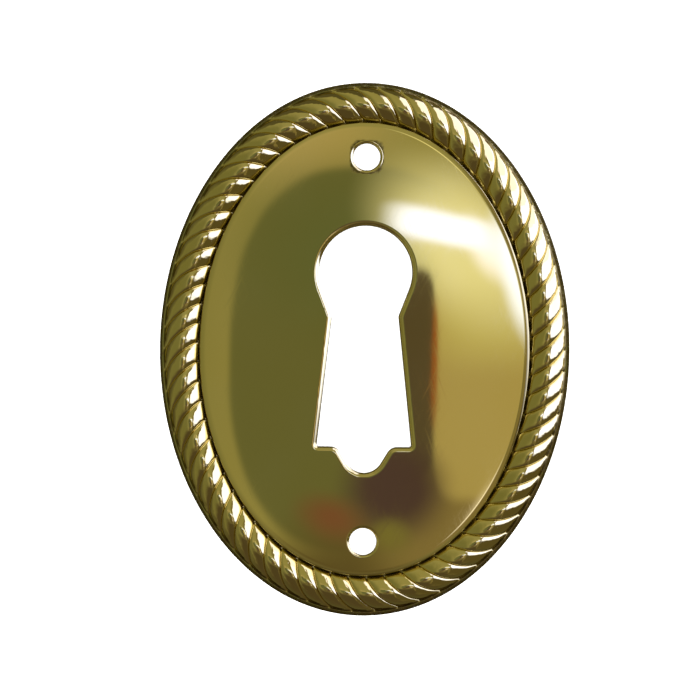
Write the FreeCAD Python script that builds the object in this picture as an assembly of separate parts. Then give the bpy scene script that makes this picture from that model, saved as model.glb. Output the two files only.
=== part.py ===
import FreeCAD
import Part
import math
import os

# Keyhole escutcheon: one stamped sheet-brass plate, lying face up.
# The origin is the middle of the back plane, +Y points to the keyhole's round end, +Z is out of the face.
# All sizes are in millimetres.

# Outline and sheet
plate_width = 31.75
plate_height = 41.3
sheet = 0.6
lip_width = 0.34
lip_height = 0.5
foot_width = 0.62

# Twisted rope border, measured over the backs of its strands
# The lay and the first groove are counted in strands
strand_count = 66
rope_width = 2.6
rope_height = 1.35
strand_bulge = 0.26
strand_back = 0.42
strand_lay = 1.7
first_groove = 0.25
rope_flank_deg = 20.0

# Valley inside the rope, then the field's rolled edge and its crown
valley_width = 0.14
valley_height = 0.86
roll_width = 0.5
roll_rise = 0.34
crown_height = 1.15

# Pin holes, measured in from the two ends of the outline
pin_hole_r = 1.05
pin_inset = 5.775
pin_edge_bevel = 0.18

# Keyhole: a round, a flared skirt with two flats, and a rounded lobe below
round_r = 3.6
round_y = 5.94
neck_half = 2.56
neck_y = 2.56
neck_ease_r = 0.6
skirt_half = 3.66
skirt_y = -7.53
skirt_corner_r = 0.15
lobe_r = 1.54
lobe_y = -9.55
lobe_flank_deg = 59.0
lobe_ease_r = 0.8
key_edge_bevel = 0.32

# How finely the dome, the strands and the rope's length are divided
crown_spans = 8
strand_spans = 4
length_steps = 1440

half_width = plate_width / 2
half_height = plate_height / 2
rope_middle = lip_width + rope_width / 2
rope_inside = lip_width + rope_width
rope_crest = lip_height + rope_height
field_foot = rope_inside + valley_width
field_edge = field_foot + roll_width
field_edge_z = valley_height + roll_rise
field_half_width = half_width - field_edge
field_half_height = half_height - field_edge
pin_y = half_height - pin_inset
punch_length = field_edge_z + crown_height + sheet


def vector(x, y, z=0.0):
    return FreeCAD.Vector(x, y, z)


# Ovals, bands and rings


def oval(inset, z):
    """An ellipse at a height, a given distance inside the outline."""
    end = vector(0, half_height - inset, z)
    side = vector(half_width - inset, 0, z)
    return Part.Ellipse(end, side, vector(0, 0, z)).toShape()


def bands(steps):
    """Sloping bands between neighbouring ovals, from steps of (inset, z)."""
    ovals = [oval(inset, z) for inset, z in steps]
    return [Part.makeRuledSurface(first, second) for first, second in zip(ovals, ovals[1:])]


def oval_wire(inset, z):
    return Part.Wire([oval(inset, z)])


def flat_ring(outer, inner):
    return Part.makeFace([outer, inner], "Part::FaceMakerBullseye")


# The field and the underside


def crown_face(edge_z):
    """The crowned field: a shallow dome over the oval, level all along the oval's edge."""
    poles = []
    for i in (-1, 0, 1):
        row = []
        for j in (-1, 0, 1):
            rise = crown_height * (3 - 2 * abs(i) - 2 * abs(j))
            row.append(vector(i * field_half_width, j * field_half_height, edge_z + rise))
        poles.append(row)
    dome = Part.BSplineSurface()
    dome.buildFromPolesMultsKnots(poles, [3, 3], [3, 3], [0.0, 1.0], [0.0, 1.0], False, False, 2, 2)
    for step in range(1, crown_spans):
        dome.insertUKnot(step / crown_spans, 1, 1e-9)
        dome.insertVKnot(step / crown_spans, 1, 1e-9)
    face = Part.Face(dome, oval_wire(field_edge, edge_z))
    face.validate()
    return face


def face_skin():
    """The field, and the edge that rolls down from it to the valley's floor."""
    shoulder = (field_foot + roll_width * 0.4, field_edge_z - roll_rise * 0.35)
    roll = bands([(field_edge, field_edge_z), shoulder, (field_foot, valley_height)])
    return [crown_face(field_edge_z)] + roll


def back_skin():
    """The underside: one sheet below the field, hollow under the rope and down to the flat foot."""
    channel_half = rope_width * 0.22
    channel_top = rope_crest - strand_bulge - sheet
    channel = bands([
        (field_edge, field_edge_z - sheet),
        (field_foot, valley_height - sheet),
        (rope_middle + channel_half, channel_top),
        (rope_middle - channel_half, channel_top),
        (foot_width, 0.0),
    ])
    return [crown_face(field_edge_z - sheet)] + channel


# The twisted rope


def rope_lengths():
    """Shares of the rope's length at equal turns round its middle line."""
    across, along = half_width - rope_middle, half_height - rope_middle
    lengths = [0.0]
    for i in range(length_steps):
        turn = 2 * math.pi * (i + 0.5) / length_steps
        step = math.hypot(across * math.sin(turn), along * math.cos(turn))
        lengths.append(lengths[-1] + step)
    return [length / lengths[-1] for length in lengths]


length_shares = rope_lengths()


def turn_at(share):
    """The turn at a share of the rope's length, where 1 is once round."""
    laps, share = divmod(share, 1.0)
    low, high = 0, length_steps
    while high - low > 1:
        middle = (low + high) // 2
        if length_shares[middle] <= share:
            low = middle
        else:
            high = middle
    between = (share - length_shares[low]) / (length_shares[high] - length_shares[low])
    return 2 * math.pi * (laps + (low + between) / length_steps)


def rim_point(share, inset, z):
    """A point square in from the outline, at a share of the way round."""
    turn = turn_at(share)
    slope_x = math.cos(turn) / half_width
    slope_y = math.sin(turn) / half_height
    slope = math.hypot(slope_x, slope_y)
    x = half_width * math.cos(turn) - inset * slope_x / slope
    y = half_height * math.sin(turn) - inset * slope_y / slope
    return vector(x, y, z)


def strand_pole(place, angle, spread, lift):
    """A control point over the rope's half-round section, at a place counted in strands round the rope."""
    flank = math.radians(rope_flank_deg)
    inward = spread * math.cos(angle) / math.cos(flank)
    outward_share = (angle - flank) / (math.pi - 2 * flank)
    floor = valley_height + (lip_height - valley_height) * outward_share
    hump = rope_crest - strand_bulge - (valley_height + lip_height) / 2
    rise = (spread * math.sin(angle) - math.sin(flank)) / (1 - math.sin(flank))
    z = floor + hump * rise + lift * spread * math.sin(math.pi * outward_share)
    reach = rope_width / 2 - strand_bulge + lift
    share = (place - strand_lay / 2 * inward) / strand_count
    return rim_point(share, rope_middle + reach * inward, z)


def strand_line(place, lift):
    """A smooth line along a strand, from the valley over the rope to the lip."""
    flank = math.radians(rope_flank_deg)
    step = (math.pi - 2 * flank) / strand_spans
    spread = 1 / math.cos(step / 2)
    poles = [strand_pole(place, flank, 1.0, lift)]
    for span in range(strand_spans):
        poles.append(strand_pole(place, flank + step * (span + 0.5), spread, lift))
    poles.append(strand_pole(place, math.pi - flank, 1.0, lift))
    knots = [span / strand_spans for span in range(strand_spans + 1)]
    mults = [3] + [1] * (strand_spans - 1) + [3]
    line = Part.BSplineCurve()
    line.buildFromPolesMultsKnots(poles, mults, knots, False, 2)
    return line.toShape()


def strand_lines():
    """Round the whole rope: each strand's groove, then the two edges of its back."""
    side = (1 - strand_back) / 2
    lines = []
    for number in range(strand_count):
        groove = first_groove + number
        lines.append(strand_line(groove, 0.0))
        lines.append(strand_line(groove + side, strand_bulge))
        lines.append(strand_line(groove + 1 - side, strand_bulge))
    return lines


def strand_skin(lines):
    return [Part.makeRuledSurface(line, after) for line, after in zip(lines, lines[1:] + lines[:1])]


def end_wire(lines, end):
    """The closed scalloped line through one end of all the strands' lines, 0 at the valley and -1 at the lip."""
    points = [line.Vertexes[end].Point for line in lines]
    return Part.makePolygon(points + points[:1])


# The pressed plate before it is pierced


def pressed_plate():
    lines = strand_lines()
    trimmed_edge = bands([(0.0, lip_height), (0.0, 0.0)])
    faces = face_skin() + strand_skin(lines) + trimmed_edge + back_skin()
    faces.append(flat_ring(end_wire(lines, 0), oval_wire(field_foot, valley_height)))
    faces.append(flat_ring(oval_wire(0.0, lip_height), end_wire(lines, -1)))
    faces.append(flat_ring(oval_wire(0.0, 0.0), oval_wire(foot_width, 0.0)))
    skin = Part.makeCompound(faces)
    skin.sewShape()
    return Part.makeSolid(skin.Shells[0])


# The holes


def straight(start, end):
    return Part.LineSegment(start, end).toShape()


def curved(start, middle, end):
    return Part.Arc(start, middle, end).toShape()


def rounded_corner(before, corner, after, radius):
    """The start, middle and end of the arc that rounds a corner between two straight runs."""
    back = (before - corner).normalize()
    ahead = (after - corner).normalize()
    half = back.getAngle(ahead) / 2
    inward = (back + ahead).normalize()
    centre = corner + inward * (radius / math.sin(half))
    run = radius / math.tan(half)
    return corner + back * run, centre - inward * radius, corner + ahead * run


def mirrored(point):
    return vector(-point.x, point.y, point.z)


def keyhole_side():
    """The right side's runs and corner arcs, from the round down to the lobe, as (start, middle, end)."""
    centre = vector(0, round_y)
    neck = vector(neck_half, neck_y)
    skirt = vector(skirt_half, skirt_y)
    spoke = neck - centre
    touch_turn = math.atan2(spoke.y, spoke.x) + math.acos(round_r / spoke.Length)
    touch = centre + vector(math.cos(touch_turn), math.sin(touch_turn)) * round_r

    flank = math.radians(lobe_flank_deg)
    lobe_touch = vector(lobe_r * math.sin(flank), lobe_y + lobe_r - lobe_r * math.cos(flank))
    flank_length = (skirt_y - lobe_touch.y) / math.sin(flank)
    shoulder = lobe_touch + vector(math.cos(flank), math.sin(flank)) * flank_length

    pieces = []
    last = touch
    for arc in (
        rounded_corner(touch, neck, skirt, neck_ease_r),
        rounded_corner(neck, skirt, shoulder, skirt_corner_r),
        rounded_corner(skirt, shoulder, lobe_touch, lobe_ease_r),
    ):
        pieces.append((last, None, arc[0]))
        pieces.append(arc)
        last = arc[2]
    pieces.append((last, None, lobe_touch))
    return pieces


def keyhole_outline():
    right = keyhole_side()
    left = []
    for start, middle, end in reversed(right):
        left.append((mirrored(end), mirrored(middle) if middle else None, mirrored(start)))
    top = (left[-1][2], vector(0, round_y + round_r), right[0][0])
    bottom = (right[-1][2], vector(0, lobe_y), left[0][0])
    edges = []
    for start, middle, end in [top] + right + [bottom] + left:
        edges.append(curved(start, middle, end) if middle else straight(start, end))
    return Part.Wire(edges)


def keyhole_punch():
    return Part.Face(keyhole_outline()).extrude(vector(0, 0, punch_length))


def pin_punch(side):
    return Part.makeCylinder(pin_hole_r, punch_length, vector(0, side * pin_y))


def middle_of_sheet(x, y):
    """Height of the middle of the sheet at a place on the crowned field."""
    fall = (x / field_half_width) ** 2 + (y / field_half_height) ** 2
    return field_edge_z + crown_height * (1 - fall) - sheet / 2


def pierced(plate, punch, bevel):
    """The plate with one hole through it, whose edge on the face the punch drew down to a small bevel."""
    plate = plate.cut(punch).Solids[0]
    rim = []
    for edge in plate.Edges:
        middle = (edge.FirstParameter + edge.LastParameter) / 2
        point = edge.valueAt(middle)
        level = abs(edge.tangentAt(middle).z) < 0.5
        on_face = level and point.z > middle_of_sheet(point.x, point.y)
        if on_face and punch.distToShape(Part.Vertex(point))[0] < sheet / 100:
            rim.append(edge)
    return plate.makeChamfer(bevel, rim)


plate = pressed_plate()
plate = pierced(plate, keyhole_punch(), key_edge_bevel)
plate = pierced(plate, pin_punch(1), pin_edge_bevel)
plate = pierced(plate, pin_punch(-1), pin_edge_bevel)

os.makedirs("parts", exist_ok=True)
plate.exportStep("parts/escutcheon_plate.step")
print("plate is sound:", plate.isValid(), "volume:", round(plate.Volume, 2), "faces:", len(plate.Faces))
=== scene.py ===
import math
import bmesh
import bpy
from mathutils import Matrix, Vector


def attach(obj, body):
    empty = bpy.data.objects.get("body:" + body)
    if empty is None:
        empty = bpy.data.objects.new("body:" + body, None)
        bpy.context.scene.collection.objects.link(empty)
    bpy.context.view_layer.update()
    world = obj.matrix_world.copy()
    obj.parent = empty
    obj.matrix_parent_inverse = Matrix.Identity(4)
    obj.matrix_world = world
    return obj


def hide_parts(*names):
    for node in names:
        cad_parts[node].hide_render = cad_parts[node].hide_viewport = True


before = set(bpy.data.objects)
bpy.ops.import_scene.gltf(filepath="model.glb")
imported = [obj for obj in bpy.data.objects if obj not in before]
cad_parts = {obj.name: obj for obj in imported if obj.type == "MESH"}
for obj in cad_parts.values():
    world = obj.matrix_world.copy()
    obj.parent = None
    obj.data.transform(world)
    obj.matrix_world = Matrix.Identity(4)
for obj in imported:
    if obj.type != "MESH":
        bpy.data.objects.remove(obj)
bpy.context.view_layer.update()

mm = 0.001
touching = 0.002 * mm  # points this close are one point
cutMerge = 0.0001 * mm
scene = bpy.context.scene


# small helpers for working in edit mode

def deselectAll():
    if bpy.context.object and bpy.context.object.mode == "EDIT":
        bpy.ops.object.mode_set(mode="OBJECT")
    bpy.ops.object.select_all(action="DESELECT")


def makeActive(piece):
    deselectAll()
    piece.select_set(True)
    bpy.context.view_layer.objects.active = piece


def startEdit(piece):
    makeActive(piece)
    bpy.ops.object.mode_set(mode="EDIT")


def endEdit():
    bpy.ops.object.mode_set(mode="OBJECT")


def pick(kind, test):  # selects only the verts, edges or faces that pass the test
    bpy.ops.mesh.select_mode(type=kind)
    bpy.ops.mesh.select_all(action="DESELECT")
    mesh = bmesh.from_edit_mesh(bpy.context.object.data)
    parts = {"VERT": mesh.verts, "EDGE": mesh.edges, "FACE": mesh.faces}[kind]
    picked = [part for part in parts if not part.hide and test(part)]
    for part in picked:
        part.select_set(True)
    mesh.select_flush_mode()
    bmesh.update_edit_mesh(bpy.context.object.data)
    return len(picked)


def applyModifier(piece, kind, **settings):
    makeActive(piece)
    bpy.ops.object.modifier_add(type=kind)
    modifier = piece.modifiers[-1]
    for name, value in settings.items():
        setattr(modifier, name, value)
    bpy.ops.object.modifier_apply(modifier=modifier.name)


def applyPlace(piece):
    makeActive(piece)
    bpy.ops.object.transform_apply(location=True, rotation=True, scale=True)


def pushOut(step):  # extrudes what is picked
    bpy.ops.mesh.extrude_region_move(TRANSFORM_OT_translate={"value": step})


# small helpers for nodes

def addNode(tree, kind, **settings):
    node = tree.nodes.new("ShaderNode" + kind)
    for name, value in settings.items():
        setattr(node, name, value)
    return node


def plug(tree, value, socket):  # links another node's socket, or sets a plain value
    if isinstance(value, bpy.types.NodeSocket):
        tree.links.new(value, socket)
    else:
        socket.default_value = value


def mathNode(tree, operation, *values):
    node = addNode(tree, "Math", operation=operation)
    for value, socket in zip(values, node.inputs):
        plug(tree, value, socket)
    return node.outputs[0]


def vectorNode(tree, operation, *values):
    node = addNode(tree, "VectorMath", operation=operation)
    for value, socket in zip(values, node.inputs):
        plug(tree, value, socket)
    return node.outputs["Value" if operation == "LENGTH" else "Vector"]


def easeNode(tree, value, start, end, low=0.0, high=1.0):  # a smooth step from low to high
    node = addNode(tree, "MapRange", interpolation_type="SMOOTHSTEP")
    settings = {"Value": value, "From Min": start, "From Max": end, "To Min": low, "To Max": high}
    for name, setting in settings.items():
        plug(tree, setting, node.inputs[name])
    return node.outputs["Result"]


def mixColour(tree, share, first, second):
    node = addNode(tree, "Mix", data_type="RGBA")
    plug(tree, share, node.inputs["Factor"])
    plug(tree, first, node.inputs[6])
    plug(tree, second, node.inputs[7])
    return node.outputs[2]


def mixNumber(tree, share, first, second):
    node = addNode(tree, "Mix", data_type="FLOAT")
    plug(tree, share, node.inputs["Factor"])
    plug(tree, first, node.inputs[2])
    plug(tree, second, node.inputs[3])
    return node.outputs[0]


def noiseNode(tree, place, scale, detail):
    node = addNode(tree, "TexNoise", noise_dimensions="3D")
    plug(tree, place, node.inputs["Vector"])
    plug(tree, scale, node.inputs["Scale"])
    plug(tree, detail, node.inputs["Detail"])
    return node.outputs["Fac"]


def newGroup(name, inputs, outputs):  # an empty node group with named sockets
    tree = bpy.data.node_groups.new(name, "ShaderNodeTree")
    for label, kind, value in inputs:
        socket = tree.interface.new_socket(label, in_out="INPUT", socket_type="NodeSocket" + kind)
        if value is not None:
            socket.default_value = value
    for label, kind in outputs:
        tree.interface.new_socket(label, in_out="OUTPUT", socket_type="NodeSocket" + kind)
    return tree, tree.nodes.new("NodeGroupInput").outputs, tree.nodes.new("NodeGroupOutput").inputs


def useGroup(tree, group, **values):
    node = addNode(tree, "Group", node_tree=group)
    for name, value in values.items():
        plug(tree, value, node.inputs[name])
    return node.outputs


# the twisted rope border, with the lip outside it and the rolled edge inside it

borderSizes = {
    "halfWidth": 15.875,
    "halfHeight": 20.65,
    "lipWidth": 0.34,
    "lipHeight": 0.5,
    "lipEdge": 0.04,
    "lipEdgeRun": 0.064,
    "lipEdgeKnee": 0.012,
    "lipFall": 0.01,
    "ropeFootRun": 0.05,  # from the strands' ends to the level lip
    "strands": 66,
    "ropeWidth": 2.67,
    "ropeHeight": 1.35,
    "bulge": 0.29,
    "strandFlat": 2.1,  # 2 is a round back, more is flatter
    "innerEnd": 0.35,  # how full a strand still is at its ends
    "outerEnd": 0.3,
    "innerTaper": 0.2,  # over how much of its length a strand sinks at its ends
    "outerTaper": 0.25,
    "lay": 1.32,
    "layBend": 0.22,  # how much squarer to the rim a strand runs at its inner end
    "crestRound": 0.25,  # the rope's section is a roof with its ridge rounded this much
    "firstGroove": 0.75,  # strands from the bottom of the oval
    "rowsOverRope": 20,
    "pointsRoundStrand": 36,
    "guideSteps": 256,
    "valleyWidth": 0.07,
    "valleyHeight": 0.975,
    "rollWidth": 0.5,
    "rollRise": 0.225,
    "rollTurn": 0.12,
    "rollTurnRise": 0.14,
    "rollTurnDegrees": 76,
    "rollRows": 6,
    "footWidth": 0.62,
    "sheet": 0.6,
    "hollowTop": 0.88,
    "hollowRound": 0.8,  # 1 is a plain arch, less is squarer
    "hollowRows": 8,
}
ropeMiddle = borderSizes["lipWidth"] + borderSizes["ropeWidth"] / 2
fieldFoot = borderSizes["lipWidth"] + borderSizes["ropeWidth"] + borderSizes["valleyWidth"]
fieldEdge = fieldFoot + borderSizes["rollWidth"]
fieldLevel = borderSizes["valleyHeight"] + borderSizes["rollRise"]
fieldHalfWidth = borderSizes["halfWidth"] - fieldEdge
fieldHalfHeight = borderSizes["halfHeight"] - fieldEdge


def makeGuide():  # the rope's middle line, an oval that starts at the bottom and runs anticlockwise
    size = borderSizes
    deselectAll()
    bpy.ops.curve.primitive_bezier_circle_add(radius=1)
    guide = bpy.context.object
    guide.scale = (-(size["halfWidth"] - ropeMiddle) * mm, (size["halfHeight"] - ropeMiddle) * mm, 1)
    applyPlace(guide)
    guide.data.twist_mode = "Z_UP"
    guide.data.use_radius = False
    guide.data.resolution_u = size["guideSteps"]
    return guide


def guideLength(guide):
    line = bpy.data.meshes.new_from_object(guide.evaluated_get(bpy.context.evaluated_depsgraph_get()))
    spots = line.vertices
    length = sum((spots[e.vertices[0]].co - spots[e.vertices[1]].co).length for e in line.edges)
    bpy.data.meshes.remove(line)
    return length


# share is 0 at the valley and 1 at the lip
def ropeStep(share, pitch):  # where a groove runs, and which way its wall leans
    size = borderSizes
    inward = 1 - 2 * share
    ridge = size["crestRound"]
    fall = math.hypot(1, ridge) - ridge
    middleFloor = (size["valleyHeight"] + size["lipHeight"]) / 2
    floorSlope = (size["valleyHeight"] - size["lipHeight"]) / 2
    hump = size["lipHeight"] + size["ropeHeight"] - size["bulge"] - middleFloor
    roof = 1 - (math.hypot(inward, ridge) - ridge) / fall
    height = middleFloor + floorSlope * inward + hump * roof
    halfWidth = size["ropeWidth"] / 2 - size["bulge"] * size["innerEnd"]
    slope = (floorSlope - hump * inward / math.hypot(inward, ridge) / fall) / halfWidth
    along = inward - size["layBend"] * inward ** 2
    place = Vector((-size["lay"] / 2 * pitch * along, halfWidth * inward * mm, height * mm))
    return place, math.atan2(1, -slope)


def strandRise(across, share):  # height of a strand's round back, low at its ends
    size = borderSizes
    back = (1 - min(abs(across), 1) ** size["strandFlat"]) ** (1 / size["strandFlat"])
    nearInner = max(0, 1 - share / size["innerTaper"])
    nearOuter = max(0, 1 - (1 - share) / size["outerTaper"])
    fullness = 1 - (1 - size["innerEnd"]) * nearInner ** 2 - (1 - size["outerEnd"]) * nearOuter ** 2
    return size["bulge"] * fullness * back * mm


def shapeRow(share, pitch, start):  # bends the picked row to the strand's section
    mesh = bmesh.from_edit_mesh(bpy.context.object.data)
    place, lean = ropeStep(share, pitch)
    middle = place.x + (borderSizes["firstGroove"] + 0.5) * pitch
    for vert in mesh.verts:
        if vert.select:
            aside = vert.co.x - start
            rise = strandRise(aside / (pitch / 2), share)
            vert.co = (middle + aside, place.y + rise * math.cos(lean), place.z + rise * math.sin(lean))
    bmesh.update_edit_mesh(bpy.context.object.data)
    return middle


def makeStrandCell(pitch):  # one strand and the lip, valley, roll and underside that go with it
    size = borderSizes
    deselectAll()
    bpy.ops.mesh.primitive_circle_add(vertices=size["pointsRoundStrand"], radius=pitch / 2)
    cell = bpy.context.object
    cell.name = "strandCell"
    startEdit(cell)
    pick("VERT", lambda vert: vert.co.y < -touching / 2)
    bpy.ops.mesh.delete(type="VERT")
    bpy.ops.mesh.select_all(action="SELECT")
    start = shapeRow(0, pitch, 0)
    innerRow = [vert.co.copy() for vert in bmesh.from_edit_mesh(cell.data).verts]

    # over the rope to the lip
    rows = size["rowsOverRope"]
    for row in range(1, rows + 1):
        pushOut((0, 0, 0))
        start = shapeRow(row / rows, pitch, start)

    # the level lip, with a close row at each side that keeps its shine level
    lipEdge, knee = size["lipEdge"], size["lipEdgeKnee"]
    inset, height = size["lipEdgeRun"], size["lipHeight"] - size["lipFall"]
    lipStart, close = size["lipWidth"] - size["ropeFootRun"], lipEdge / 2
    for rowInset in (lipStart, lipStart - close, inset + close, inset):
        pushOut((0, 0, 0))
        rowPlace = (0, (rowInset - ropeMiddle) * mm, height * mm)
        bpy.ops.transform.resize(value=(1, 0, 0), center_override=rowPlace)

    # its trimmed edge, the foot and the hollow underside
    section = [(knee, height - knee), (0, height - lipEdge)]
    section += [(0, lipEdge), (lipEdge, 0), (size["footWidth"], 0)]
    section += hollowSection()
    for nextInset, nextHeight in section:
        pushOut((0, (nextInset - inset) * mm, (nextHeight - height) * mm))
        inset, height = nextInset, nextHeight

    # the valley and the field's rolled edge
    def onInnerRow(vert):
        return min((vert.co - spot).length for spot in innerRow) < touching

    pick("EDGE", lambda edge: all(onInnerRow(vert) for vert in edge.verts))
    pushOut((0, 0, 0))
    valleyPlace = (0, (fieldFoot - ropeMiddle) * mm, size["valleyHeight"] * mm)
    bpy.ops.transform.resize(value=(1, 0, 0), center_override=valleyPlace)
    reached = (0, 0)
    for row in range(1, size["rollRows"] + 1):
        turn = math.radians(size["rollTurnDegrees"]) * row / size["rollRows"]
        point = (size["rollTurn"] * (1 - math.cos(turn)), size["rollTurnRise"] * math.sin(turn))
        pushOut((0, (point[0] - reached[0]) * mm, (point[1] - reached[1]) * mm))
        reached = point
    pushOut((0, (size["rollWidth"] - reached[0]) * mm, (size["rollRise"] - reached[1]) * mm))
    endEdit()
    return cell


def hollowSection():  # (inset, height) steps of the underside, from the foot to the field
    size = borderSizes
    innerEnd = (fieldFoot, size["valleyHeight"] - size["sheet"])
    steps = []
    rows = size["hollowRows"]
    for row in range(1, rows + 1):
        turn = math.pi * row / rows
        share = (1 - math.cos(turn)) / 2
        inset = size["footWidth"] + (innerEnd[0] - size["footWidth"]) * share
        arch = (size["hollowTop"] - innerEnd[1] / 2) * math.sin(turn) ** size["hollowRound"]
        steps.append((inset, innerEnd[1] * share + arch))
    steps[-1] = innerEnd
    steps.append((fieldEdge, fieldLevel - size["sheet"]))
    return steps


def makeBorder():
    guide = makeGuide()
    pitch = guideLength(guide) / borderSizes["strands"]
    border = makeStrandCell(pitch)
    applyModifier(
        border, "ARRAY", count=borderSizes["strands"], use_relative_offset=False,
        use_constant_offset=True, constant_offset_displace=(pitch, 0, 0),
        use_merge_vertices=True, merge_threshold=touching)
    applyModifier(border, "CURVE", object=guide, deform_axis="POS_X")
    startEdit(border)
    bpy.ops.mesh.select_all(action="SELECT")
    bpy.ops.mesh.remove_doubles(threshold=touching * 2)
    endEdit()
    bpy.data.objects.remove(guide)
    print("border: pitch", round(pitch / mm, 3), "mm, faces", len(border.data.polygons))
    return border


# the keyhole and pin punches

keyholeSizes = {
    "roundRadius": 3.6,
    "roundY": 5.94,
    "neckHalf": 2.56,
    "neckY": 2.56,
    "neckEase": 0.6,
    "skirtHalf": 3.66,
    "skirtY": -7.53,
    "skirtEase": 0.15,
    "lobeRadius": 1.54,
    "lobeY": -9.55,
    "lobeFlank": 59,
    "lobeEase": 0.8,
    "edgeRoll": 0.42,
    "pinRadius": 1.05,
    "pinY": 14.875,
    "pinRoll": 0.25,
    "rollSteps": 6,
    "rimMerge": 0.03,
    "burrInner": 1.07,
    "burrOuter": 1.25,
    "burrRise": 0.07,
    "punchMiddle": 1.5,
    "punchLength": 5.0,
    "roundPoints": 128,
    "lobePoints": 96,
    "pinPoints": 64,
    "easeSteps": 6,
    "cornerSteps": 4,
    "skirtOverlap": 1.2,  # how far the punch's parts reach into each other
    "chinOverlap": 0.5,
}


def addDrum(radius, y, points):
    size = keyholeSizes
    deselectAll()
    bpy.ops.mesh.primitive_cylinder_add(
        vertices=points, radius=radius * mm, depth=size["punchLength"] * mm,
        location=(0, y * mm, size["punchMiddle"] * mm))
    drum = bpy.context.object
    applyPlace(drum)
    return drum


def addWedge(bottomY, bottomHalf, topY, topHalf):  # a block whose sides lean
    size = keyholeSizes
    deselectAll()
    middleY = (bottomY + topY) / 2 * mm
    bpy.ops.mesh.primitive_cube_add(size=1, location=(0, middleY, size["punchMiddle"] * mm))
    wedge = bpy.context.object
    wedge.scale = (2 * bottomHalf * mm, (topY - bottomY) * mm, size["punchLength"] * mm)
    applyPlace(wedge)
    startEdit(wedge)
    pick("VERT", lambda vert: vert.co.y > middleY)
    bpy.ops.transform.resize(value=(topHalf / bottomHalf, 1, 1), center_override=(0, 0, 0))
    endEdit()
    return wedge


def joinSolids(base, others):
    for other in others:
        applyModifier(base, "BOOLEAN", operation="UNION", solver="EXACT", object=other)
        bpy.data.objects.remove(other)


def roundUprights(piece, x, y, run, steps):  # rounds the two upright edges at (x, y) and (-x, y)
    startEdit(piece)
    near = 0.02 * mm

    def isUpright(edge):
        return all(
            abs(abs(vert.co.x) - x * mm) < near and abs(vert.co.y - y * mm) < near
            for vert in edge.verts)

    pick("EDGE", isUpright)
    bpy.ops.mesh.bevel(offset=run * mm, segments=steps, affect="EDGES")
    endEdit()


def makeKeyholePunch():
    size = keyholeSizes
    reach = math.hypot(size["neckHalf"], size["neckY"] - size["roundY"])
    lean = math.atan2(size["neckY"] - size["roundY"], size["neckHalf"])
    touch = lean + math.acos(size["roundRadius"] / reach)
    touchHalf = size["roundRadius"] * math.cos(touch)
    touchY = size["roundY"] + size["roundRadius"] * math.sin(touch)
    flank = math.radians(size["lobeFlank"])
    lobeHalf = size["lobeRadius"] * math.sin(flank)
    lobeTouchY = size["lobeY"] + size["lobeRadius"] * (1 - math.cos(flank))
    shoulderHalf = lobeHalf + (size["skirtY"] - lobeTouchY) / math.tan(flank)
    skirtLean = (size["skirtHalf"] - size["neckHalf"]) / (size["neckY"] - size["skirtY"])

    over, into = size["skirtOverlap"], size["chinOverlap"]
    punch = addDrum(size["roundRadius"], size["roundY"], size["roundPoints"])
    collar = addWedge(size["neckY"], size["neckHalf"], touchY, touchHalf)
    skirt = addWedge(
        size["skirtY"], size["skirtHalf"], size["neckY"] + over, size["neckHalf"] - over * skirtLean)
    chin = addWedge(
        lobeTouchY, lobeHalf, size["skirtY"] + into, shoulderHalf + into / math.tan(flank))
    lobe = addDrum(size["lobeRadius"], size["lobeY"] + size["lobeRadius"], size["lobePoints"])
    joinSolids(punch, [collar, skirt, chin, lobe])
    punch.name = "keyholePunch"

    # each corner's run is its radius over the tangent of half the angle between its sides
    neckSide = math.atan2(touchY - size["neckY"], touchHalf - size["neckHalf"])
    skirtSide = math.atan2(size["skirtY"] - size["neckY"], size["skirtHalf"] - size["neckHalf"])
    neckRun = size["neckEase"] / math.tan((neckSide - skirtSide) / 2)
    cornerRun = size["skirtEase"] / math.tan((math.pi / 2 + math.atan(-skirtLean)) / 2)
    shoulderRun = size["lobeEase"] / math.tan((math.pi - flank) / 2)
    roundUprights(punch, size["neckHalf"], size["neckY"], neckRun, size["easeSteps"])
    roundUprights(punch, size["skirtHalf"], size["skirtY"], cornerRun, size["cornerSteps"])
    roundUprights(punch, shoulderHalf, size["skirtY"], shoulderRun, size["easeSteps"])
    return punch


# the plate

fieldSizes = {
    "crown": 1.15,
    "grid": 0.45,
    "seam": 0.03,
    "edgeStep": 0.05,
    "sheetCorners": 100,  # only the level sheets have faces with more corners than this
    "shadeGrid": (120, 160),
    "shadeReach": 1.05,
    "smoothDegrees": 34,
}


def crownShare(x, y):
    return max(0.0, 1 - (x / (fieldHalfWidth * mm)) ** 2 - (y / (fieldHalfHeight * mm)) ** 2)


def closeField(plate):  # a level sheet inside the rope, on the face and on the back
    size = fieldSizes
    under = fieldLevel - borderSizes["sheet"]
    near = 0.01 * mm
    startEdit(plate)

    def isOpenAt(edge, level):
        return edge.is_boundary and all(abs(vert.co.z - level * mm) < near for vert in edge.verts)

    def isSheet(face):
        return len(face.verts) > size["sheetCorners"]

    for level in (fieldLevel, under):
        pick("EDGE", lambda edge: isOpenAt(edge, level))
        bpy.ops.mesh.edge_face_add()
    bpy.ops.mesh.select_all(action="SELECT")
    bpy.ops.mesh.normals_make_consistent(inside=False)
    halfUp = (fieldLevel + under) / 2 * mm
    pick("FACE", lambda face: isSheet(face) and face.calc_center_median().z > halfUp)
    bpy.ops.mesh.inset(thickness=size["edgeStep"] * mm)
    # in two halves, so that the holes leave no face with a hole in it
    pick("FACE", isSheet)
    seam = size["seam"] * size["grid"] * mm
    bpy.ops.mesh.bisect(plane_co=(seam, 0, 0), plane_no=(1, 0, 0), threshold=cutMerge)
    endEdit()


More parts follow.
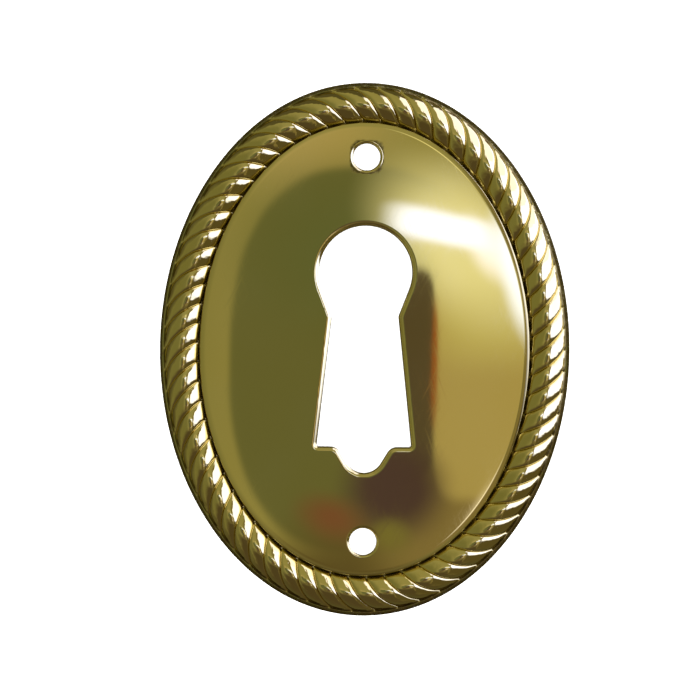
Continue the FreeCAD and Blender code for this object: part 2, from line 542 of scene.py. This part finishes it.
def pierce(plate, punch):  # cuts the hole and returns the box round it
    applyModifier(plate, "BOOLEAN", operation="DIFFERENCE", solver="EXACT", object=punch)
    box = [Vector(corner) for corner in (punch.bound_box[0], punch.bound_box[6])]
    bpy.data.objects.remove(punch)
    return box


def rollRim(plate, box, edgeRoll):  # draws down a hole's edge on the face
    low, high = box
    near = 0.01 * mm
    steep = 1  # radians, more than the field bends anywhere

    def isRim(edge):
        if len(edge.link_faces) != 2 or edge.calc_face_angle(0) < steep:
            return False
        return all(
            abs(vert.co.z - fieldLevel * mm) < near
            and low.x - near < vert.co.x < high.x + near
            and low.y - near < vert.co.y < high.y + near
            for vert in edge.verts)

    startEdit(plate)
    pick("EDGE", isRim)
    bpy.ops.mesh.remove_doubles(threshold=keyholeSizes["rimMerge"] * mm)
    count = pick("EDGE", isRim)
    bpy.ops.mesh.bevel(
        offset=edgeRoll * mm, segments=keyholeSizes["rollSteps"], affect="EDGES", clamp_overlap=False)
    endEdit()
    print("hole: rim edges", count)


def raiseBurr(plate, y):  # the burr that the punch left round the upper pin hole
    size = keyholeSizes
    halfUp = (fieldLevel - borderSizes["sheet"] / 2) * mm
    startEdit(plate)

    def onBurr(vert):
        reach = math.hypot(vert.co.x, vert.co.y - y * mm) / mm
        return size["burrInner"] < reach < size["burrOuter"] and vert.co.z > halfUp

    count = pick("VERT", onBurr)
    bpy.ops.transform.translate(value=(0, 0, size["burrRise"] * mm))
    endEdit()
    print("burr: raised", count, "vertices")


def crownField(plate):  # cuts the field into a grid and presses it up in the middle
    startEdit(plate)
    inside = 1.002  # takes in the field's own edge
    limitX, limitY = fieldHalfWidth * mm * inside, fieldHalfHeight * mm * inside

    def onField(face):
        return all((vert.co.x / limitX) ** 2 + (vert.co.y / limitY) ** 2 < 1 for vert in face.verts)

    pick("FACE", onField)
    bpy.ops.mesh.hide(unselected=True)
    step = fieldSizes["grid"]
    for half, normal in ((fieldHalfWidth, (1, 0, 0)), (fieldHalfHeight, (0, 1, 0))):
        cuts = int(half / step)
        for cut in range(-cuts, cuts + 1):
            at = (cut + fieldSizes["seam"]) * step * mm
            bpy.ops.mesh.select_all(action="SELECT")
            bpy.ops.mesh.bisect(plane_co=(at, at, 0), plane_no=normal, threshold=cutMerge)
    bpy.ops.mesh.reveal()
    endEdit()
    crown = plate.vertex_groups.new(name="crown")
    for vert in plate.data.vertices:
        share = crownShare(vert.co.x, vert.co.y)
        if share > 0:
            crown.add([vert.index], share, "REPLACE")
    applyModifier(
        plate, "DISPLACE", direction="Z", strength=fieldSizes["crown"] * mm, mid_level=0,
        vertex_group="crown")


def mendWalls(plate):  # makes a face anew where the cuts left it partly open
    startEdit(plate)
    count = pick("FACE", lambda face: sum(len(edge.link_faces) == 1 for edge in face.edges) > 1)
    if count:
        bpy.ops.mesh.delete(type="FACE")
        bpy.ops.mesh.select_all(action="SELECT")
        bpy.ops.mesh.fill_holes(sides=0)
    endEdit()
    print("walls: mended", count)


def evenShading(plate):  # the field takes its shading from the same crown without holes
    size = fieldSizes
    halfX, halfY = fieldHalfWidth * mm, fieldHalfHeight * mm
    columns, rows = size["shadeGrid"]
    deselectAll()
    bpy.ops.mesh.primitive_grid_add(x_subdivisions=columns, y_subdivisions=rows, size=2)
    crown = bpy.context.object
    crown.scale = (halfX * size["shadeReach"], halfY * size["shadeReach"], 1)
    applyPlace(crown)
    for vert in crown.data.vertices:
        fall = (vert.co.x / halfX) ** 2 + (vert.co.y / halfY) ** 2
        vert.co.z = (fieldLevel + size["crown"] * (1 - fall)) * mm
    bpy.ops.object.shade_smooth()
    face = plate.vertex_groups.new(name="face")
    rim = 1.001  # takes in the field's own edge
    for vert in plate.data.vertices:
        height = (fieldLevel + size["crown"] * crownShare(vert.co.x, vert.co.y)) * mm
        reach = math.hypot(vert.co.x / halfX, vert.co.y / halfY)
        if abs(vert.co.z - height) < touching and reach < rim:
            face.add([vert.index], 1, "REPLACE")
    applyModifier(
        plate, "DATA_TRANSFER", object=crown, use_loop_data=True, data_types_loops={"CUSTOM_NORMAL"},
        loop_mapping="POLYINTERP_NEAREST", vertex_group="face")
    bpy.data.objects.remove(crown)


wearLook = {
    "cleanDegrees": 105,
    "dirtDegrees": 75,
}


def markWear(plate):  # 0 in the grooves, 0.5 on level metal, 1 on the ridges
    makeActive(plate)
    bpy.ops.geometry.color_attribute_add(
        name="wear", domain="CORNER", data_type="FLOAT_COLOR", color=(1, 1, 1, 1))
    clean, dirt = math.radians(wearLook["cleanDegrees"]), math.radians(wearLook["dirtDegrees"])
    bpy.ops.paint.vertex_color_dirt(
        blur_strength=0.5, blur_iterations=1, clean_angle=clean, dirt_angle=dirt,
        dirt_only=False, normalize=False)


def makePlate():
    plate = makeBorder()
    plate.name = "brassPlate"
    closeField(plate)
    size = keyholeSizes
    holes = [(pierce(plate, makeKeyholePunch()), size["edgeRoll"])]
    for side in (1, -1):
        box = pierce(plate, addDrum(size["pinRadius"], side * size["pinY"], size["pinPoints"]))
        holes.append((box, size["pinRoll"]))
    # closes the slits that the cuts leave
    startEdit(plate)
    bpy.ops.mesh.select_all(action="SELECT")
    bpy.ops.mesh.fill_holes(sides=4)
    endEdit()
    for box, edgeRoll in holes:
        rollRim(plate, box, edgeRoll)
    raiseBurr(plate, size["pinY"])
    crownField(plate)
    mendWalls(plate)
    makeActive(plate)
    bpy.ops.object.shade_smooth_by_angle(angle=math.radians(fieldSizes["smoothDegrees"]))
    evenShading(plate)
    markWear(plate)
    plate.vertex_groups.clear()
    print("plate: triangles", sum(len(face.vertices) - 2 for face in plate.data.polygons))
    return plate


plate = makePlate()
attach(plate, "root")
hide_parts("escutcheon_plate")


# polished brass on the face, dull brass in the hollow behind

brassLook = {
    "colour": (0.80, 0.67, 0.22),
    "paleColour": (0.84, 0.72, 0.30),
    "tarnishAndShadeColour": (0.17, 0.13, 0.03),
    "roughness": 0.045,
    "rubbedRoughness": 0.11,
    "tarnishRoughness": 0.26,
    "waves": 0.35,
    "ropeGrain": 6.0,
    "rubMarks": 0.12,
}
backLook = {  # on faces that look down, inside the foot
    "colour": (0.56, 0.43, 0.16),
    "paleColour": (0.66, 0.52, 0.22),
    "tarnishAndShadeColour": (0.18, 0.10, 0.04),
    "roughness": 0.38,
    "rubbedRoughness": 0.30,
    "tarnishRoughness": 0.55,
    "waves": 0.6,
    "ropeGrain": 0.6,
    "rubMarks": 0.3,
}
backFrom = {
    "lookingDown": -0.05,
    "insideFoot": 0.975,
}
skinLook = {
    "hairlines": (14000, 300, 3000),  # noise cells per metre across, along and down
    "markTurns": (0.5, -0.35),
    "markEdge": (0.56, 0.74),
    "markPatches": 160,
    "markPatchEdge": (0.38, 0.62),
    "markRoughness": 0.5,
    "markDepth": 0.05,
    "tarnishGrain": 1500,
    "tarnishBreak": 0.12,
    "tarnishStart": 0.03,
    "wearGrain": 900,
    "wearBreak": 0.1,
    "wearStart": 0.02,
    "waveGrain": 170,
    "ropeSkinGrain": 520,
    "ropeStart": (0.995, 1.02),  # shares of the oval along the valley
    # painted shade along the valley: the width of its line, then its strength
    "valleyLine": (0.010, 0.003),
    "valleyShade": 0.4,
    "shadedOutline": (0.984, 0.992),  # shares of the plate's outline over which the painted shade on its edge sets in
    "toneEdge": (0.3, 0.7),
    "toneSpread": 0.35,
    "toneRoughness": 0.03,
    "bumpDepth": 0.02,
}


def makeRubMarks():  # fine hairlines left by the polishing cloth
    tree, given, out = newGroup(
        "rubMarks",
        [("Place", "Vector", None), ("Turn", "Float", 0.0), ("Cover", "Float", 0.5)],
        [("Mask", "Float")])
    turned = addNode(tree, "VectorRotate", rotation_type="Z_AXIS")
    plug(tree, given["Place"], turned.inputs["Vector"])
    plug(tree, given["Turn"], turned.inputs["Angle"])
    stretched = vectorNode(tree, "MULTIPLY", turned.outputs[0], skinLook["hairlines"])
    mark = easeNode(tree, noiseNode(tree, stretched, 1, 2), *skinLook["markEdge"])
    patches = noiseNode(tree, given["Place"], skinLook["markPatches"], 2)
    here = easeNode(tree, patches, *skinLook["markPatchEdge"])
    marks = mathNode(tree, "MULTIPLY", mark, here)
    plug(tree, mathNode(tree, "MULTIPLY", marks, given["Cover"]), out["Mask"])
    return tree


def makeTarnish():  # dark film that stays in the grooves, broken up a little
    tree, given, out = newGroup(
        "tarnish",
        [("Place", "Vector", None), ("Wear", "Float", 0.5), ("Reach", "Float", 0.22)],
        [("Mask", "Float")])
    film = noiseNode(tree, given["Place"], skinLook["tarnishGrain"], 4)
    depth = mathNode(tree, "SUBTRACT", 0.5, given["Wear"])
    uneven = skinLook["tarnishBreak"]
    edge = mathNode(tree, "MULTIPLY_ADD", film, uneven, -uneven / 2)
    spread = mathNode(tree, "ADD", depth, edge)
    plug(tree, easeNode(tree, spread, skinLook["tarnishStart"], given["Reach"]), out["Mask"])
    return tree


def makeEdgeWear():  # ridges that hands and cloths have rubbed pale
    tree, given, out = newGroup(
        "edgeWear",
        [("Place", "Vector", None), ("Wear", "Float", 0.5), ("Reach", "Float", 0.25)],
        [("Mask", "Float")])
    patches = noiseNode(tree, given["Place"], skinLook["wearGrain"], 3)
    height = mathNode(tree, "SUBTRACT", given["Wear"], 0.5)
    uneven = skinLook["wearBreak"]
    edge = mathNode(tree, "MULTIPLY_ADD", patches, uneven, -uneven / 2)
    spread = mathNode(tree, "ADD", height, edge)
    plug(tree, easeNode(tree, spread, skinLook["wearStart"], given["Reach"]), out["Mask"])
    return tree


def ovalReach(tree, place, inset):  # 1 along the oval that lies this far inside the outline
    halves = borderSizes["halfWidth"] - inset, borderSizes["halfHeight"] - inset
    shaped = vectorNode(tree, "MULTIPLY", place, (1000 / halves[0], 1000 / halves[1], 0))
    return vectorNode(tree, "LENGTH", shaped)


def makeMetalSkin():  # soft waves in the pressed sheet, a finer uneven skin on the rope, and painted shade along the valley and the plate's outer edge
    look = skinLook
    tree, given, out = newGroup(
        "metalSkin",
        [("Place", "Vector", None), ("Waves", "Float", 0.5), ("Rope Grain", "Float", 0.5)],
        [("Height", "Float"), ("Valley", "Float"), ("Outline Shade", "Float"), ("Tone", "Float")])
    reach = ovalReach(tree, given["Place"], fieldFoot - borderSizes["valleyWidth"] / 2)
    # painted shade: a thin dark line along the valley between the rope and the field
    fromValley = mathNode(tree, "ABSOLUTE", mathNode(tree, "SUBTRACT", reach, 1))
    plug(tree, easeNode(tree, fromValley, *look["valleyLine"]), out["Valley"])
    # painted shade: the plate's outer edge is darkened toward its outline
    outline = ovalReach(tree, given["Place"], 0)
    plug(tree, easeNode(tree, outline, *look["shadedOutline"]), out["Outline Shade"])
    broad = noiseNode(tree, given["Place"], look["waveGrain"], 1)
    plug(tree, broad, out["Tone"])
    fine = noiseNode(tree, given["Place"], look["ropeSkinGrain"], 3)
    rope = easeNode(tree, reach, *look["ropeStart"])
    waves = mathNode(tree, "MULTIPLY", broad, given["Waves"])
    grain = mathNode(tree, "MULTIPLY", mathNode(tree, "MULTIPLY", fine, given["Rope Grain"]), rope)
    plug(tree, mathNode(tree, "ADD", waves, grain), out["Height"])
    return tree


def makeBrass(name, look):
    brass = bpy.data.materials.new(name)
    brass.use_nodes = True
    tree = brass.node_tree
    shader = tree.nodes["Principled BSDF"]
    shader.inputs["Metallic"].default_value = 1
    place = addNode(tree, "TexCoord").outputs["Object"]
    wear = addNode(tree, "Attribute", attribute_name="wear").outputs["Fac"]
    skin = useGroup(
        tree, brassGroups["skin"],
        **{"Place": place, "Waves": look["waves"], "Rope Grain": look["ropeGrain"]})
    film = useGroup(tree, brassGroups["tarnish"], Place=place, Wear=wear)["Mask"]
    # painted shade along the valley and the outer edge goes into the same dark mask as the tarnish film
    valley = mathNode(tree, "MULTIPLY", skin["Valley"], skinLook["valleyShade"])
    tarnish = mathNode(tree, "MAXIMUM", mathNode(tree, "MAXIMUM", film, valley), skin["Outline Shade"])
    rubbed = useGroup(tree, brassGroups["edgeWear"], Place=place, Wear=wear)["Mask"]
    marks = mathNode(tree, "MAXIMUM", *[
        useGroup(tree, brassGroups["rubMarks"], Place=place, Turn=turn, Cover=look["rubMarks"])["Mask"]
        for turn in skinLook["markTurns"]])

    # colour: clean brass with slow changes of tone, paler where rubbed, dark with tarnish in the
    # grooves and with painted shade along the valley and the outer edge
    tone = easeNode(tree, skin["Tone"], *skinLook["toneEdge"], 0.0, skinLook["toneSpread"])
    colour = mixColour(tree, tone, look["colour"] + (1,), look["paleColour"] + (1,))
    colour = mixColour(tree, rubbed, colour, look["paleColour"] + (1,))
    colour = mixColour(tree, tarnish, colour, look["tarnishAndShadeColour"] + (1,))
    plug(tree, colour, shader.inputs["Base Color"])

    # roughness: near a mirror, duller along hairlines and rubbed ridges, dull in the grooves
    spread = skinLook["toneRoughness"]
    rough = mathNode(tree, "MULTIPLY_ADD", skin["Tone"], spread, look["roughness"] - spread / 2)
    rough = mathNode(tree, "ADD", rough, mathNode(tree, "MULTIPLY", marks, skinLook["markRoughness"]))
    rough = mixNumber(tree, rubbed, rough, look["rubbedRoughness"])
    rough = mixNumber(tree, tarnish, rough, look["tarnishRoughness"])
    plug(tree, rough, shader.inputs["Roughness"])

    bump = addNode(tree, "Bump")
    bump.inputs["Strength"].default_value = 1
    bump.inputs["Distance"].default_value = skinLook["bumpDepth"] * mm
    scratches = mathNode(tree, "MULTIPLY", marks, skinLook["markDepth"])
    height = mathNode(tree, "SUBTRACT", skin["Height"], scratches)
    plug(tree, height, bump.inputs["Height"])
    plug(tree, bump.outputs["Normal"], shader.inputs["Normal"])
    return brass


brassGroups = {
    "rubMarks": makeRubMarks(),
    "tarnish": makeTarnish(),
    "edgeWear": makeEdgeWear(),
    "skin": makeMetalSkin(),
}


def dressPlate(plate):
    plate.data.materials.clear()
    plate.data.materials.append(makeBrass("polishedBrass", brassLook))
    plate.data.materials.append(makeBrass("dullBrass", backLook))
    halfX, halfY = borderSizes["halfWidth"] * mm, borderSizes["halfHeight"] * mm
    for face in plate.data.polygons:
        reach = math.hypot(face.center.x / halfX, face.center.y / halfY)
        if face.normal.z < backFrom["lookingDown"] and reach < backFrom["insideFoot"]:
            face.material_index = 1
    print("brass: polished face and dull back")


dressPlate(plate)


# the studio

studio = {
    "frameWidth": 54.32,
    "cameraHeight": 350,
    "roll": 0.6,
    "aside": (-1.14, -0.07),
    "clipStart": 10,
    "floorSize": 1200,
    "floorColour": (0.9, 0.9, 0.88, 1),
    "floorRoughness": 0.9,
    "air": 1.2,
    "lightHeight": 600,
    "lightSize": 150,
    "lightPower": 6,
}

# What the polished metal mirrors. Middle and half size are degrees from overhead, to the
# right and up the page; then turn, squareness, softness and colour. A later patch lies
# over the ones before it.
tent = {
    "radius": 500,
    "columns": 96,
    "rows": 48,
    "base": (0.34, 0.325, 0.19),
    "below": (0.10, 0.09, 0.05),
    "horizon": (0.02, -0.06),
    "patches": [
        ("westWall", (-64, 0), (36, 62), 0, 3, 0.5, (0.20, 0.20, 0.10)),
        ("southWall", (-5, -64), (54, 36), 0, 3, 0.4, (0.09, 0.07, 0.045)),
        ("eastWall", (88, 15), (62, 100), 0, 4, 0.15, (0.11, 0.09, 0.045)),
        ("eastWindow", (90, 44), (57, 60), 0, 4, 0.1, (1.8, 1.95, 4.2)),
        ("skylight", (56, 72), (36, 28), 0, 4, 0.1, (1.6, 1.6, 3.0)),
        ("mullion", (31.0, 0), (3.0, 60), 0, 6, 0.1, (0.24, 0.20, 0.11)),
        ("topLeftWarmth", (-9, 22), (11, 7), 0, 2, 0.6, (0.46, 0.40, 0.27)),
        ("darkBoard", (0, -1), (20.6, 17.5), 0, 2.5, 0.03, (0.155, 0.165, 0.10)),
        ("boardTop", (-2, 9), (13, 6), 0, 2, 0.8, (0.135, 0.16, 0.095)),
        ("brownFoot", (-2, -24), (14, 8), 0, 2, 0.5, (0.13, 0.105, 0.06)),
        ("lowRight", (17, -18), (13, 8), 0, 2, 0.5, (0.25, 0.20, 0.12)),
        ("goldCard", (18.4, -1), (7.6, 12.5), 0, 6, 0.06, (0.47, 0.40, 0.25)),
        ("goldUp", (20, 4.5), (9, 5), 0, 3, 0.5, (0.62, 0.58, 0.36)),
        ("highGlow", (15.0, 9.8), (11.5, 5.4), -14, 2, 0.65, (0.98, 1.0, 1.05)),
        ("highBend", (18.6, 9.2), (3.2, 1.5), -36, 2, 0.8, (1.4, 1.5, 3.4)),
        ("rimLight", (24.0, 7.2), (5.6, 2.6), -60, 3, 0.5, (1.4, 1.65, 4.4)),
        ("lowRim", (19.2, -15.2), (5.2, 1.7), 40, 2, 0.6, (1.3, 1.25, 1.9)),
        ("topRim", (13.5, 20.6), (8.0, 1.7), -32, 2, 0.7, (1.0, 0.97, 0.85)),
        ("highLight", (11.7, 11.15), (7.4, 1.35), -7, 4, 0.4, (1.5, 1.75, 4.8)),
        ("darkStrip", (5, -2), (5.9, 9.4), 0, 8, 0.05, (0.105, 0.085, 0.075)),
        ("orangeLine", (11.0, -1.2), (0.45, 5), 0, 3, 0.4, (0.34, 0.115, 0.042)),
        ("brownCloth", (5.0, -12.6), (7, 3.8), 0, 2, 0.5, (0.085, 0.055, 0.085)),
        ("redSpot", (-4.6, -15.3), (4.0, 1.5), -8, 2, 0.9, (0.21, 0.10, 0.085)),
        ("greenSpot", (4.5, -16.8), (2.6, 1.2), 0, 2, 0.7, (0.21, 0.20, 0.09)),
    ],
}


def makeSoftPatch():  # 1 inside a rounded patch of the map, 0 outside it
    tree, given, out = newGroup(
        "softPatch",
        [("Map", "Vector", None), ("Middle", "Vector", None), ("Half", "Vector", None),
         ("Turn", "Float", 0.0), ("Square", "Float", 2.0), ("Soft", "Float", 0.2)],
        [("Mask", "Float")])
    turned = addNode(tree, "VectorRotate", rotation_type="Z_AXIS")
    plug(tree, vectorNode(tree, "SUBTRACT", given["Map"], given["Middle"]), turned.inputs["Vector"])
    plug(tree, mathNode(tree, "MULTIPLY", given["Turn"], -1), turned.inputs["Angle"])
    size = vectorNode(tree, "ABSOLUTE", vectorNode(tree, "DIVIDE", turned.outputs[0], given["Half"]))
    parts = addNode(tree, "SeparateXYZ")
    plug(tree, size, parts.inputs[0])
    powers = [mathNode(tree, "POWER", parts.outputs[axis], given["Square"]) for axis in "XY"]
    root = mathNode(tree, "DIVIDE", 1, given["Square"])
    reach = mathNode(tree, "POWER", mathNode(tree, "ADD", *powers), root)
    edges = mathNode(tree, "ADD", 1, given["Soft"]), mathNode(tree, "SUBTRACT", 1, given["Soft"])
    plug(tree, easeNode(tree, reach, *edges), out["Mask"])
    return tree


def makeTentCloth():
    cloth = bpy.data.materials.new("tentCloth")
    cloth.use_nodes = True
    tree = cloth.node_tree
    tree.nodes.clear()
    toward = vectorNode(tree, "NORMALIZE", addNode(tree, "TexCoord").outputs["Object"])
    parts = addNode(tree, "SeparateXYZ")
    plug(tree, toward, parts.inputs[0])
    tilt = mathNode(tree, "DEGREES", mathNode(tree, "ARCCOSINE", parts.outputs["Z"]))
    level = vectorNode(tree, "NORMALIZE", vectorNode(tree, "MULTIPLY", toward, (1, 1, 0)))
    scaled = addNode(tree, "VectorMath", operation="SCALE")
    plug(tree, level, scaled.inputs[0])
    plug(tree, tilt, scaled.inputs["Scale"])
    softPatch = makeSoftPatch()
    under = easeNode(tree, parts.outputs["Z"], *tent["horizon"])
    colour = mixColour(tree, under, tent["base"] + (1,), tent["below"] + (1,))
    for name, middle, half, turn, square, soft, tint in tent["patches"]:
        mask = useGroup(
            tree, softPatch, Map=scaled.outputs[0], Middle=middle + (0,), Half=half + (1,),
            Turn=math.radians(turn), Square=square, Soft=soft)["Mask"]
        mask.node.label = name
        colour = mixColour(tree, mask, colour, tint + (1,))
    glow = addNode(tree, "Emission")
    plug(tree, colour, glow.inputs["Color"])
    end = addNode(tree, "OutputMaterial")
    plug(tree, glow.outputs[0], end.inputs["Surface"])
    cloth.cycles.emission_sampling = "NONE"
    return cloth


def makeTent():  # a globe of cards round the plate that only its mirror finish sees
    deselectAll()
    bpy.ops.mesh.primitive_uv_sphere_add(
        segments=tent["columns"], ring_count=tent["rows"], radius=tent["radius"] * mm)
    globe = bpy.context.object
    globe.name = "lightTent"
    globe.data.materials.append(makeTentCloth())
    for kind in ("camera", "diffuse", "shadow", "transmission", "volume_scatter"):
        setattr(globe, "visible_" + kind, False)


def makeFloor():
    deselectAll()
    bpy.ops.mesh.primitive_plane_add(size=studio["floorSize"] * mm)
    floor = bpy.context.object
    floor.name = "floor"
    pale = bpy.data.materials.new("paleFloor")
    pale.use_nodes = True
    shader = pale.node_tree.nodes["Principled BSDF"]
    shader.inputs["Base Color"].default_value = studio["floorColour"]
    shader.inputs["Roughness"].default_value = studio["floorRoughness"]
    floor.data.materials.append(pale)
    floor.visible_glossy = False


def makeLights():
    world = bpy.data.worlds.new("studioAir")
    scene.world = world
    world.use_nodes = True
    air = world.node_tree.nodes["Background"]
    air.inputs["Color"].default_value = (1, 1, 1, 1)
    air.inputs["Strength"].default_value = studio["air"]
    deselectAll()
    bpy.ops.object.light_add(type="AREA", location=(0, 0, studio["lightHeight"] * mm))
    light = bpy.context.object
    light.name = "floorLight"
    light.data.size = studio["lightSize"] * mm
    light.data.energy = studio["lightPower"]
    light.visible_glossy = False
    light.visible_camera = False


def makeStudio():
    makeFloor()
    makeTent()
    makeLights()
    print("studio: floor, light tent with", len(tent["patches"]), "patches, floor light")


def makeCamera():
    place = [side * mm for side in (*studio["aside"], studio["cameraHeight"])]
    deselectAll()
    bpy.ops.object.camera_add(location=place, rotation=(0, 0, math.radians(studio["roll"])))
    camera = bpy.context.object
    camera.data.lens = camera.data.sensor_width * studio["cameraHeight"] / studio["frameWidth"]
    camera.data.clip_start = studio["clipStart"] * mm
    scene.camera = camera
    print("camera: straight above the plate,", studio["cameraHeight"], "mm up")


makeStudio()
makeCamera()
scene.view_settings.view_transform = "Standard"
deselectAll()
